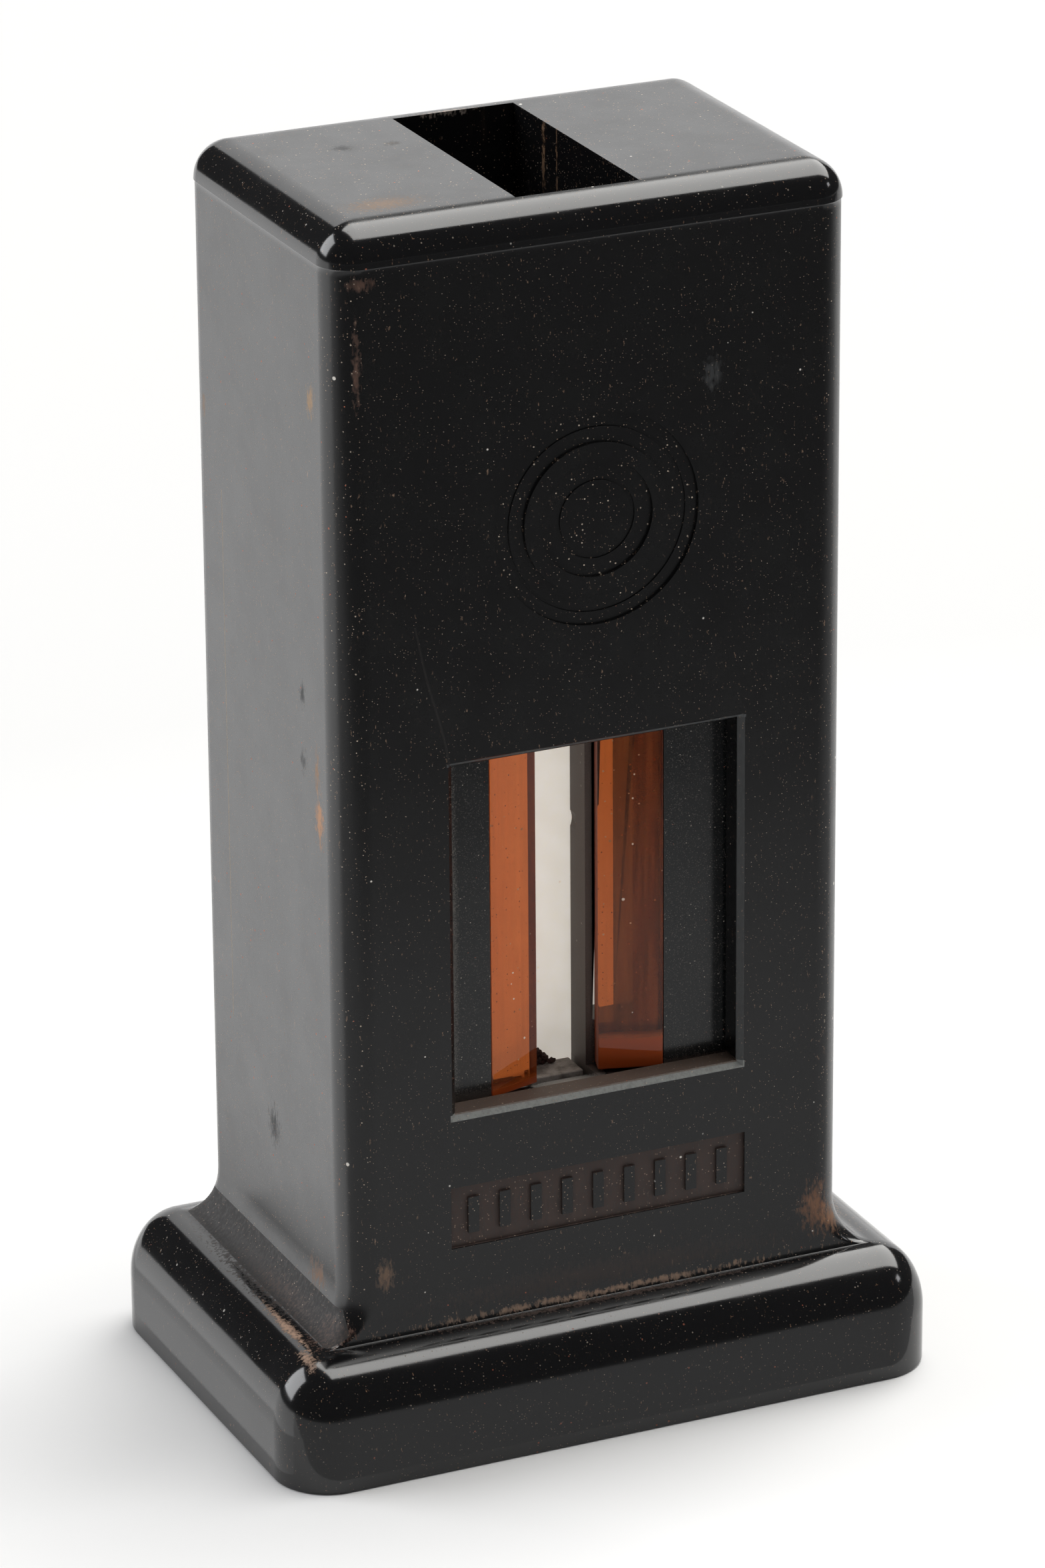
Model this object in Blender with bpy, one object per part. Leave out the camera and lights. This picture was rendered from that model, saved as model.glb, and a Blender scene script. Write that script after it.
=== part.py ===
"""Colour comparator stand (haemometer): a hollow black phenolic column on a flared foot.

A measuring tube drops through the slot in the top, stands on a small rest and is
seen through the front window between two amber glass standards, with an opal
plate behind them lit through a window in the rear cover.

Frame: origin at the bottom centre of the foot, +Z up, the front faces -Y.
"""

import math

import bmesh
import bpy

MM = 0.001

# ---- driving dimensions, millimetres -------------------------------------
HEIGHT = 120.0
BODY_A, BODY_B = 25.70, 17.15      # half width and half depth of the column
BODY_CORNER = 3.20                 # radius of its upright edges
RIM_R = 3.70                       # rolled rim round the top
RIM_PROUD = 0.12                   # the rim stands just proud of the ground faces
BASE_A, BASE_B = 33.55, 22.85      # half width and half depth of the foot
BASE_CORNER = 5.50
BASE_ROLL_Z = 5.80                 # the foot's upright side ends here
BASE_TOP = 12.20                   # crown of the foot
FILLET_TOP = 17.20                 # the cove under the column ends here
WALL = 2.75

SLOT_X0, SLOT_X1 = -6.50, 5.70     # tube slot in the top
SLOT_Y0, SLOT_Y1 = -14.10, 13.25
CAVITY_TOP = 81.0                  # above it the column splits into three cells
PARTITION = 2.15

WIN_A, WIN_Z0, WIN_Z1 = 14.45, 33.40, 67.90     # front window, inside its bevel
WIN_BEVEL = 0.50
PANEL_A, PANEL_Z0, PANEL_Z1 = 15.15, 19.90, 26.10
MEDAL_R, MEDAL_Z = 10.20, 89.70

RAIL_X, RAIL_Y = 13.90, 9.30       # rails that the rear cover is screwed to
COVER_A, COVER_Z0, COVER_Z1 = 17.90, 22.50, 77.50
COVER_Y0, COVER_Y1 = 14.50, 17.05
REAR_WIN_A, REAR_WIN_Z0, REAR_WIN_Z1 = 14.20, 33.00, 68.00
COVER_SCREWS = [(-15.2, 26.0), (15.2, 26.0), (-15.2, 74.0), (15.2, 74.0)]

CAR_A, CAR_Z0, CAR_Z1 = 18.30, 27.00, 76.50     # standards carrier
CAR_Y0, CAR_Y1, CAR_SEAT = -14.05, -4.30, -6.90
GAP_X0, GAP_X1 = -4.15, 1.90       # gap that the tube stands in
REST_TOP = 32.35
GLASS_Z0, GLASS_Z1 = 33.00, 70.60
GLASS_T = 2.20
LEFT_OUT, LEFT_IN = (-9.50, -14.10), (-4.20, -12.60)     # front corners, seen from above
RIGHT_OUT, RIGHT_IN = (8.10, -14.10), (2.14, -12.36)
CARRIER_SCREWS = [(-16.3, 69.0), (16.3, 31.0)]

PLATE_A, PLATE_B, PLATE_Z0, PLATE_Z1 = 29.90, 19.20, 0.50, 2.10
PLATE_SCREWS = [(sx * 26.3, sy * 15.6) for sx in (-1, 1) for sy in (-1, 1)]

SPRING_X0, SPRING_X1 = -3.60, 1.40
SPRING_PIVOT = (-3.82, 77.00)      # y and z of the line that the leaf flexes about


# ---- scene and materials --------------------------------------------------
for old in list(bpy.data.objects):
    bpy.data.objects.remove(old, do_unlink=True)


def material(name, colour, roughness, metallic=0.0, transmission=0.0):
    mat = bpy.data.materials.new(name)
    mat.use_nodes = True
    bsdf = mat.node_tree.nodes["Principled BSDF"]
    bsdf.inputs["Base Color"].default_value = (*colour, 1.0)
    bsdf.inputs["Roughness"].default_value = roughness
    bsdf.inputs["Metallic"].default_value = metallic
    bsdf.inputs["Transmission Weight"].default_value = transmission
    return mat


# ---- modelling helpers ----------------------------------------------------
def rounded_rect(a, b, corner, n=6, cx=0.0, cy=0.0):
    """Points of a rounded rectangle of half sizes a and b, counter-clockwise."""
    points = []
    for sx, sy, start in ((1, 1, 0), (-1, 1, 90), (-1, -1, 180), (1, -1, 270)):
        for i in range(n + 1):
            t = math.radians(start + 90.0 * i / n)
            points.append((cx + sx * (a - corner) + corner * math.cos(t),
                           cy + sy * (b - corner) + corner * math.sin(t)))
    return points


def new_object(name, bm, mat):
    bmesh.ops.recalc_face_normals(bm, faces=bm.faces)
    mesh = bpy.data.meshes.new(name)
    bm.to_mesh(mesh)
    bm.free()
    if mat is not None:
        mesh.materials.append(mat)
    obj = bpy.data.objects.new(name, mesh)
    bpy.context.scene.collection.objects.link(obj)
    return obj


def loft(name, loops, mat=None):
    """Skin through closed loops of 3-D points with equal counts, capped at both ends."""
    bm = bmesh.new()
    rings = [[bm.verts.new([c * MM for c in p]) for p in loop] for loop in loops]
    for low, high in zip(rings, rings[1:]):
        for i in range(len(low)):
            j = (i + 1) % len(low)
            bm.faces.new((low[i], low[j], high[j], high[i]))
    bm.faces.new(list(reversed(rings[0])))
    bm.faces.new(rings[-1])
    return new_object(name, bm, mat)


def prism(name, outline, z0, z1, mat=None):
    """An outline of (x, y) points extruded from z0 to z1."""
    return loft(name, [[(x, y, z0) for x, y in outline], [(x, y, z1) for x, y in outline]], mat)


def side_prism(name, outline, x0, x1, mat=None):
    """An outline of (y, z) points extruded from x0 to x1."""
    return loft(name, [[(x0, y, z) for y, z in outline], [(x1, y, z) for y, z in outline]], mat)


def block(name, x, y, z, mat=None):
    return prism(name, [(x[0], y[0]), (x[1], y[0]), (x[1], y[1]), (x[0], y[1])], z[0], z[1], mat)


def turned(name, profile, centre, axis="Z", n=20, mat=None):
    """A profile of (radius, height) points turned about an axis through centre; it starts and ends on the axis."""
    bm = bmesh.new()
    rings = []
    for r, h in profile:
        if r == 0:
            rings.append([bm.verts.new((0, 0, h * MM))])
        else:
            rings.append([bm.verts.new((r * MM * math.cos(2 * math.pi * i / n),
                                        r * MM * math.sin(2 * math.pi * i / n), h * MM)) for i in range(n)])
    for low, high in zip(rings, rings[1:]):
        for i in range(n):
            j = (i + 1) % n
            if len(low) == 1:
                bm.faces.new((low[0], high[j], high[i]))
            elif len(high) == 1:
                bm.faces.new((low[i], low[j], high[0]))
            else:
                bm.faces.new((low[i], low[j], high[j], high[i]))
    turns = {"Z": (0, 0, 0), "-Z": (math.pi, 0, 0), "Y": (-math.pi / 2, 0, 0), "-Y": (math.pi / 2, 0, 0)}
    obj = new_object(name, bm, mat)
    obj.rotation_euler = turns[axis]
    obj.location = [c * MM for c in centre]
    return obj


def boolean(target, other, operation="DIFFERENCE"):
    other.hide_render = True
    other.display_type = "WIRE"
    mod = target.modifiers.new(other.name, "BOOLEAN")
    mod.operation = operation
    mod.object = other
    return mod


def smooth(obj, angle=35.0):
    obj.data.shade_smooth()
    obj.data.set_sharp_from_angle(angle=math.radians(angle))


PHENOLIC = material("black_phenolic", (0.010, 0.010, 0.011), 0.18)
CARRIER = material("matt_phenolic", (0.014, 0.014, 0.015), 0.35)
AMBER = material("amber_glass", (0.80, 0.22, 0.05), 0.08, transmission=1.0)
OPAL = material("opal_glass", (0.86, 0.84, 0.79), 0.30)
REST = material("rest_pad", (0.16, 0.15, 0.14), 0.80)
BRASS = material("brass", (0.62, 0.42, 0.16), 0.30, metallic=1.0)
SPRING = material("spring_bronze", (0.60, 0.36, 0.16), 0.32, metallic=1.0)
BOARD = material("fibre_board", (0.020, 0.018, 0.016), 0.70)


# ---- housing ---------------------------------------------------------------
# One skin from the foot's lower edge, over its rolled top and the cove, up the
# column to the rolled rim; the cells, windows and bosses are cut or added after.
def ring(a, b, corner, z):
    return [(x, y, z) for x, y in rounded_rect(a, b, corner)]


skin = [ring(BASE_A - 0.35, BASE_B - 0.35, BASE_CORNER - 0.35, 0.0),
        ring(BASE_A, BASE_B, BASE_CORNER, 0.35)]
for i in range(8):
    t = math.radians(90.0 * i / 7)
    out = 1.0 - math.cos(t)
    skin.append(ring(BASE_A - 4.9 * out, BASE_B - 5.3 * out, max(BASE_CORNER - 5.1 * out, 0.5),
                     BASE_ROLL_Z + (BASE_TOP - BASE_ROLL_Z) * math.sin(t)))
for i in range(6):
    t = math.radians(90.0 * (i + 1) / 6)
    skin.append(ring(BODY_A + (BASE_A - 4.9 - BODY_A) * (1 - math.sin(t)),
                     BODY_B + (BASE_B - 5.3 - BODY_B) * (1 - math.sin(t)),
                     0.5 + (BODY_CORNER - 0.5) * math.sin(t),
                     BASE_TOP + (FILLET_TOP - BASE_TOP) * (1 - math.cos(t))))
skin.append(ring(BODY_A, BODY_B, BODY_CORNER, HEIGHT - RIM_R - 0.15))
for i in range(8):
    t = math.radians(90.0 * i / 7)
    out = RIM_R * (1.0 - math.cos(t))
    skin.append(ring(BODY_A + RIM_PROUD - out, BODY_B + RIM_PROUD - out, max(BODY_CORNER + RIM_PROUD - out, 0.3),
                     HEIGHT - RIM_R + RIM_R * math.sin(t)))
housing = loft("housing", skin, PHENOLIC)

# Lower cell, open downwards, with the two rails left standing at the back.
boolean(housing, prism("cut_foot", rounded_rect(30.3, 19.6, 3.0), -2.0, 6.6))
boolean(housing, block("cut_front_cell", (-22.95, 22.95), (-14.40, RAIL_Y), (5.6, CAVITY_TOP)))
boolean(housing, block("cut_back_cell", (-RAIL_X, RAIL_X), (RAIL_Y - 0.6, 14.30), (5.4, CAVITY_TOP - 0.2)))
boolean(housing, block("cut_back_low", (-22.80, 22.80), (RAIL_Y - 0.4, 14.20), (5.2, 18.0)))
# Upper cells: the tube's own in the middle, through the top, and a blind one each side.
boolean(housing, block("cut_slot", (SLOT_X0, SLOT_X1), (SLOT_Y0, SLOT_Y1), (CAVITY_TOP - 1.0, HEIGHT + 2.0)))
boolean(housing, block("cut_cell_left", (-22.85, SLOT_X0 - PARTITION), (-14.25, 14.15), (CAVITY_TOP - 0.9, 115.6)))
boolean(housing, block("cut_cell_right", (SLOT_X1 + PARTITION, 22.85), (-14.25, 14.15), (CAVITY_TOP - 0.9, 115.6)))
# Front window with its bevel, the name panel left blank and the round recess.
boolean(housing, loft("cut_window", [
    [(x, y, z) for x, z in ((-a, z0), (a, z0), (a, z1), (-a, z1))]
    for y, a, z0, z1 in (
        (-BODY_B - 0.5, WIN_A + 2 * WIN_BEVEL, WIN_Z0 - 2 * WIN_BEVEL, WIN_Z1 + 2 * WIN_BEVEL),
        (-BODY_B + WIN_BEVEL, WIN_A, WIN_Z0, WIN_Z1),
        (-13.6, WIN_A, WIN_Z0, WIN_Z1))]))
boolean(housing, block("cut_panel", (-PANEL_A, PANEL_A), (-BODY_B - 1.0, -BODY_B + 0.40), (PANEL_Z0, PANEL_Z1)))
for i in range(9):
    # plain ribs stand in the blank panel
    x = -12.8 + 3.2 * i
    boolean(housing, block(f"add_rib_{i}", (x - 0.55, x + 0.55), (-BODY_B + 0.12, -BODY_B + 0.9), (21.2, 24.8)), "UNION")
boolean(housing, turned("cut_medal_ring", [(7.2, 0.0), (MEDAL_R, 0.0), (MEDAL_R, 1.0), (7.2, 1.0), (7.2, 0.0)],
                        (0.0, -BODY_B - 0.70, MEDAL_Z), "Y", 48))
boolean(housing, turned("cut_medal_disc", [(0, 0.0), (5.6, 0.0), (5.6, 1.0), (0, 1.0)],
                        (0.0, -BODY_B - 0.70, MEDAL_Z), "Y", 40))
# Rear opening for the cover, screw bores, and the bosses under the foot.
boolean(housing, block("cut_rear", (-COVER_A - 0.3, COVER_A + 0.3), (14.2, BODY_B + 1.5),
                       (COVER_Z0 - 0.3, COVER_Z1 + 0.3)))
for i, (x, z) in enumerate(COVER_SCREWS):
    boolean(housing, turned(f"cut_cover_bore_{i}", [(0, 0), (1.2, 0), (1.2, 4.6), (0, 4.6)], (x, 14.7, z), "-Y", 12))
for i, (x, z) in enumerate(CARRIER_SCREWS):
    boolean(housing, turned(f"cut_carrier_bore_{i}", [(0, 0), (1.2, 0), (1.2, 2.9), (0, 2.9)], (x, -13.6, z), "-Y", 12))
for i, (x, y) in enumerate(PLATE_SCREWS):
    boolean(housing, turned(f"add_boss_{i}", [(0, 0), (2.8, 0), (2.8, 4.9), (0, 4.9)], (x, y, 2.4), "Z", 16), "UNION")
for i, (x, y) in enumerate(PLATE_SCREWS):
    boolean(housing, turned(f"cut_boss_bore_{i}", [(0, 0), (1.2, 0), (1.2, 5.4), (0, 5.4)], (x, y, 1.4), "Z", 12))
smooth(housing)


# ---- standards carrier -----------------------------------------------------
def slab(out, inner, thick, grow=0.0):
    """Outline of a plate whose front edge runs between two corners, seen from above."""
    dx, dy = inner[0] - out[0], inner[1] - out[1]
    length = math.hypot(dx, dy)
    ux, uy = dx / length, dy / length
    nx, ny = (-uy, ux) if ux > 0 else (uy, -ux)
    p = [(out[0] - ux * grow - nx * grow, out[1] - uy * grow - ny * grow),
         (inner[0] + ux * grow - nx * grow, inner[1] + uy * grow - ny * grow)]
    q = [(x + nx * (thick + 2 * grow), y + ny * (thick + 2 * grow)) for x, y in p]
    return [p[0], p[1], q[1], q[0]]


def seat(out, inner):
    """Outline of a plate's seat, with 0.3 mm of play and open towards the front."""
    _, _, back_in, back_out = slab(out, inner, GLASS_T, 0.3)
    side = 1.0 if out[0] > inner[0] else -1.0
    edge_out = out[0] + 0.3 * side
    return [(edge_out, -15.5), (inner[0] - 0.5 * side, -15.5), (inner[0] - 0.5 * side, back_in[1]), back_in,
            back_out, (edge_out, out[1] + 0.2)]


carrier = block("standards_carrier", (-CAR_A, CAR_A), (CAR_Y0, CAR_Y1), (CAR_Z0, CAR_Z1), CARRIER)
# rebate at the back for the opal plate
boolean(carrier, block("cut_rebate", (-CAR_A - 1, CAR_A + 1), (CAR_SEAT, CAR_Y1 + 1), (28.7, 71.8)))
# tube gap: open in front and above, closed behind above the opal plate
boolean(carrier, block("cut_gap", (GAP_X0, GAP_X1), (CAR_Y0 - 1, -6.20), (REST_TOP + 0.3, CAR_Z1 + 1)))
boolean(carrier, block("cut_rest_pocket", (GAP_X0 + 0.01, GAP_X1 - 0.01), (-12.10, CAR_SEAT + 1.0), (30.60, 34.0)))
# light wells behind the two standards, and their slanted seats
boolean(carrier, block("cut_well_left", (-9.30, -4.85), (-12.40, CAR_SEAT + 1.0), (31.9, 70.9)))
boolean(carrier, block("cut_well_right", (2.60, 6.20), (-12.40, CAR_SEAT + 1.0), (37.2, 70.9)))
boolean(carrier, block("cut_web_left", (-4.95, GAP_X0 + 0.1), (-12.40, -6.80), (31.8, 71.0)))
boolean(carrier, prism("cut_seat_left", seat(LEFT_OUT, LEFT_IN), GLASS_Z0 - 0.3, GLASS_Z1 + 0.3))
boolean(carrier, prism("cut_seat_right", seat(RIGHT_OUT, RIGHT_IN), GLASS_Z0 - 0.3, GLASS_Z1 + 0.3))
for i, (x, z) in enumerate(CARRIER_SCREWS):
    boolean(carrier, turned(f"cut_carrier_hole_{i}", [(0, 0), (1.2, 0), (1.2, 9.0), (0, 9.0)], (x, -6.0, z), "-Y", 12))
for i, (x, z) in enumerate(((-14.6, 51.0), (11.0, 51.0))):
    boolean(carrier, turned(f"cut_clip_hole_{i}", [(0, 0), (1.1, 0), (1.1, 4.4), (0, 4.4)], (x, -6.5, z), "-Y", 12))
boolean(carrier, turned("cut_spring_hole", [(0, 0), (0.95, 0), (0.95, 2.0), (0, 2.0)], (-1.1, -3.8, 74.2), "-Y", 12))
smooth(carrier)

# ---- glass standards, opal plate and tube rest ------------------------------
glass_left = prism("glass_standard_left", slab(LEFT_OUT, LEFT_IN, GLASS_T), GLASS_Z0, GLASS_Z1, AMBER)
glass_right = prism("glass_standard_right", slab(RIGHT_OUT, RIGHT_IN, GLASS_T), GLASS_Z0, GLASS_Z1, AMBER)
opal = block("opal_diffuser", (-11.6, 7.8), (-6.6, -4.4), (29.0, 71.4), OPAL)
rest = block("tube_rest", (GAP_X0 + 0.31, GAP_X1 - 0.31), (-10.30, -6.95), (30.90, REST_TOP), REST)


# ---- opal clips --------------------------------------------------------------
def clip(name, x_foot, x_step, x_tip, mat):
    """A joggled strip: its foot lies on the carrier, its finger over the opal plate."""
    d = 1.0 if x_tip > x_foot else -1.0
    lower = [(x_foot, -6.60), (x_step, -6.60), (x_step + 0.5 * d, -4.10), (x_tip, -4.10)]
    upper = [(x_tip, -3.70), (x_step + 0.2 * d, -3.70), (x_step - 0.3 * d, -6.20), (x_foot, -6.20)]
    return prism(name, lower + upper, 48.5, 53.5, mat)


clip_left = clip("opal_clip_left", -16.6, -12.6, -9.4, SPRING)
clip_right = clip("opal_clip_right", 13.0, 8.9, 5.7, SPRING)
for obj, x in ((clip_left, -14.6), (clip_right, 11.0)):
    boolean(obj, turned(f"cut_{obj.name}", [(0, 0), (1.1, 0), (1.1, 2.0), (0, 2.0)], (x, -5.6, 51.0), "-Y", 12))

# ---- tube spring: a leaf behind the tube, hung on its flex line --------------
# Its clamped foot is a piece of its own, so that only the blade swings.
LEAF = 0.36
foot = block("tube_spring_foot", (SPRING_X0, SPRING_X1), (SPRING_PIVOT[0] - LEAF / 2, SPRING_PIVOT[0] + LEAF / 2),
             (72.3, 76.7), SPRING)
boolean(foot, turned("cut_leaf_hole", [(0, 0), (0.95, 0), (0.95, 2.0), (0, 2.0)], (-1.1, -2.9, 74.2), "-Y", 12))

pivot = bpy.data.objects.new("tube_spring_pivot", None)
pivot.location = (0.0, SPRING_PIVOT[0] * MM, SPRING_PIVOT[1] * MM)
bpy.context.scene.collection.objects.link(pivot)
leaf_path = [(-3.82, 77.0), (-3.86, 78.2), (-4.5, 82.0), (-5.4, 87.0), (-5.9, 91.0), (-5.75, 93.0), (-5.1, 95.0), (-4.3, 96.4)]
front, back = [], []
for i, (y, z) in enumerate(leaf_path):
    y0, z0 = leaf_path[max(i - 1, 0)]
    y1, z1 = leaf_path[min(i + 1, len(leaf_path) - 1)]
    length = math.hypot(y1 - y0, z1 - z0)
    ny, nz = (z1 - z0) / length, -(y1 - y0) / length
    front.append((y - ny * LEAF / 2, z - nz * LEAF / 2))
    back.append((y + ny * LEAF / 2, z + nz * LEAF / 2))
spring = side_prism("tube_spring", front + back[::-1], SPRING_X0, SPRING_X1, SPRING)
spring.parent = pivot
spring.matrix_parent_inverse.translation = [-c for c in pivot.location]
smooth(spring)

# ---- rear cover ----------------------------------------------------------------
cover = block("rear_cover", (-COVER_A, COVER_A), (COVER_Y0, COVER_Y1), (COVER_Z0, COVER_Z1), PHENOLIC)
edge = cover.modifiers.new("edge", "BEVEL")
edge.width = 0.35 * MM
edge.segments = 2
boolean(cover, block("cut_rear_window", (-REAR_WIN_A, REAR_WIN_A), (13.0, 19.0), (REAR_WIN_Z0, REAR_WIN_Z1)))
for i, (x, z) in enumerate(COVER_SCREWS):
    boolean(cover, turned(f"cut_cover_hole_{i}", [(0, 0), (1.2, 0), (1.2, 3.05), (2.2, 3.05), (2.2, 5.0), (0, 5.0)],
                          (x, 12.8, z), "Y", 16))

# ---- base plate ------------------------------------------------------------------
plate = prism("base_plate", rounded_rect(PLATE_A, PLATE_B, 2.7), PLATE_Z0, PLATE_Z1, BOARD)
for i, (x, y) in enumerate(PLATE_SCREWS):
    boolean(plate, turned(f"cut_plate_hole_{i}", [(0, 0), (2.2, 0), (2.2, 1.2), (1.2, 1.2), (1.2, 3.0), (0, 3.0)],
                          (x, y, 0.2), "Z", 16))


# ---- screws ------------------------------------------------------------------------
def screw(name, head, axis, head_r, head_h, shank_r, shank_l):
    """A slotted cheese-head screw; head is the middle of the head's outer face and axis runs down the shank."""
    obj = turned(name, [(0, 0), (head_r - 0.15, 0), (head_r, 0.15), (head_r, head_h), (shank_r, head_h),
                        (shank_r, head_h + shank_l - 0.3), (shank_r - 0.3, head_h + shank_l), (0, head_h + shank_l)],
                 head, axis, 16, BRASS)
    w = 0.22
    x, y, z = head
    if axis in ("-Y", "Y"):
        s = 1.0 if axis == "Y" else -1.0
        ys = sorted((y - s * 1.0, y + s * 0.45))
        slot = block("cut_" + name, (x - head_r - 0.5, x + head_r + 0.5), ys, (z - w, z + w))
    else:
        s = 1.0 if axis == "Z" else -1.0
        zs = sorted((z - s * 1.0, z + s * 0.40))
        slot = block("cut_" + name, (x - head_r - 0.5, x + head_r + 0.5), (y - w, y + w), zs)
    boolean(obj, slot)
    smooth(obj)
    return obj


for i, (x, z) in enumerate(COVER_SCREWS, 1):
    screw(f"rear_cover_screw_{i}", (x, 17.0, z), "-Y", 1.9, 0.8, 0.9, 5.4)
for i, (x, z) in enumerate(CARRIER_SCREWS, 1):
    screw(f"carrier_screw_{i}", (x, -5.5, z), "-Y", 1.9, 1.1, 0.9, 9.6)
for i, x in enumerate((-14.6, 11.0), 1):
    screw(f"opal_clip_screw_{i}", (x, -5.0, 51.0), "-Y", 1.6, 0.9, 0.8, 4.2)
screw("tube_spring_screw", (-1.1, -2.55, 74.2), "-Y", 1.5, 0.8, 0.65, 2.0)
for i, (x, y) in enumerate(PLATE_SCREWS, 1):
    screw(f"base_screw_{i}", (x, y, 0.55), "Z", 1.9, 0.55, 0.9, 4.9)
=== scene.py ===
"""Looks of a colour comparator stand: a black phenolic housing with amber glass standards.

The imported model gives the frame. Sizes below are in millimetres and are turned
to metres with MM where Blender takes them; +Z is up and the front faces -Y.
"""

import math
import random

import bmesh
import bpy
from mathutils import Matrix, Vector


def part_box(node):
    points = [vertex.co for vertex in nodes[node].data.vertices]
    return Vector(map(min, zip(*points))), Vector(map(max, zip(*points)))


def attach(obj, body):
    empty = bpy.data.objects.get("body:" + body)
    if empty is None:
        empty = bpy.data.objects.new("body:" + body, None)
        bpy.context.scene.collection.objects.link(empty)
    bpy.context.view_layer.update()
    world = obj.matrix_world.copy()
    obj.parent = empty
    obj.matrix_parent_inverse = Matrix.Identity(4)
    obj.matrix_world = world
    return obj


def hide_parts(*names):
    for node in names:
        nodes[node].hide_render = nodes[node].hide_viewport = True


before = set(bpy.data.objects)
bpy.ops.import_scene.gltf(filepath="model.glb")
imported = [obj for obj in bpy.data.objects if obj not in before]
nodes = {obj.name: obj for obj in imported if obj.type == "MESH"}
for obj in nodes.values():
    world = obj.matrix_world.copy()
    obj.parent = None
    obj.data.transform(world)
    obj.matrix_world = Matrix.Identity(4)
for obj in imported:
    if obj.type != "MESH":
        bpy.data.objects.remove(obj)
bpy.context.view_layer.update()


# ---- Housing: the moulded shell ----------------------------------------------
# One compression moulding in black wood-filled phenolic (Bakelite). It comes out
# of the mould glossy; the flat sides and top were then ground level, so they are
# satin, while the rolled rim, the foot's roll and the cove keep the mould's gloss.
MM = 0.001
COLUMN_X, COLUMN_Y, COLUMN_CORNER = 25.70, 17.15, 3.20
FOOT_X, FOOT_Y, FOOT_CORNER = 33.55, 22.85, 5.50
HEIGHT = 120.0
FOOT_UPRIGHT = 5.8                        # height where the foot's side starts to roll in
ROLL_X, ROLL_Y, ROLL_Z = 4.9, 5.3, 6.4    # how far the roll goes in and up, to its crown
COVE_X, COVE_Y, COVE_Z = 2.95, 0.40, 5.0  # the hollow between the crown and the column
CROWN, CROWN_CORNER = 12.2, 0.42
RIM_LOW, RIM_ROLL, RIM_PROUD = 116.3, 3.7, 0.12
WALL_FACE = -17.15                        # the column's front face, along Y
WINDOW_X, WINDOW_LOW, WINDOW_HIGH = 14.45, 33.40, 67.90
WINDOW_Z, WINDOW_MIDDLE, WINDOW_FLARE = 17.25, 50.65, 1.0
BADGE_Z = 89.70
COVER_SCREWS = ((-15.2, 26.0), (15.2, 26.0), (-15.2, 74.0), (15.2, 74.0))
CARRIER_SCREWS = ((-16.3, 69.0), (16.3, 31.0))
SCREW_BORE = 1.2


def rounded_outline(half_x, half_y, corner, steps=14):
    """Points of a rounded rectangle, counter-clockwise, in mm."""
    points = []
    for sx, sy, start in ((1, 1, 0), (-1, 1, 90), (-1, -1, 180), (1, -1, 270)):
        for i in range(steps + 1):
            turn = math.radians(start + 90.0 * i / steps)
            points.append((sx * (half_x - corner) + corner * math.cos(turn),
                           sy * (half_y - corner) + corner * math.sin(turn)))
    return points


def only(piece):
    """Makes this the one selected and active object."""
    bpy.ops.object.select_all(action="DESELECT")
    piece.select_set(True)
    bpy.context.view_layer.objects.active = piece


def box(name, low, high):
    """A cube primitive that fills the space between two corners, in mm."""
    bpy.ops.object.select_all(action="DESELECT")
    bpy.ops.mesh.primitive_cube_add(size=1, location=[(a + b) / 2 * MM for a, b in zip(low, high)])
    piece = bpy.context.object
    piece.name = name
    piece.scale = [(b - a) * MM for a, b in zip(low, high)]
    bpy.ops.object.transform_apply(location=True, rotation=True, scale=True)
    return piece


def round_bar(name, radius, start, end, sides=48):
    """A cylinder primitive from one point to another along Y or Z, in mm."""
    bpy.ops.object.select_all(action="DESELECT")
    along_y = start[2] == end[2]
    depth = abs(end[1] - start[1]) if along_y else abs(end[2] - start[2])
    bpy.ops.mesh.primitive_cylinder_add(vertices=sides, radius=radius * MM, depth=depth * MM,
                                        location=[(a + b) / 2 * MM for a, b in zip(start, end)],
                                        rotation=(math.pi / 2 if along_y else 0, 0, 0))
    piece = bpy.context.object
    piece.name = name
    bpy.ops.object.transform_apply(location=True, rotation=True, scale=True)
    return piece


def work(piece, cutter, operation="DIFFERENCE"):
    """Cuts the cutter from the piece, or joins it on, and throws the cutter away."""
    only(piece)
    mod = piece.modifiers.new("work", "BOOLEAN")
    mod.operation = operation
    mod.object = cutter
    bpy.ops.object.modifier_apply(modifier="work")
    bpy.data.objects.remove(cutter, do_unlink=True)


def pick(piece, kind, test):
    """In edit mode, selects just the faces or edges that pass the test."""
    bpy.ops.mesh.select_all(action="DESELECT")
    mesh = bmesh.from_edit_mesh(piece.data)
    mesh.normal_update()
    for part in getattr(mesh, kind):
        if test(part):
            part.select_set(True)
    mesh.select_flush_mode()
    bmesh.update_edit_mesh(piece.data)


def ease(piece, width, segments=2, angle=40):
    """Breaks the sharp edges of a piece, as a file or the mould does."""
    only(piece)
    mod = piece.modifiers.new("ease", "BEVEL")
    mod.width = width * MM
    mod.segments = segments
    mod.limit_method = "ANGLE"
    mod.angle_limit = math.radians(angle)
    mod.harden_normals = False
    bpy.ops.object.modifier_apply(modifier="ease")


def smooth(piece, angle=32):
    """Smooth shading that keeps flat faces flat."""
    only(piece)
    bpy.ops.object.shade_smooth_by_angle(angle=math.radians(angle))
    mod = piece.modifiers.new("flat", "WEIGHTED_NORMAL")
    mod.keep_sharp = True
    bpy.ops.object.modifier_apply(modifier="flat")


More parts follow.
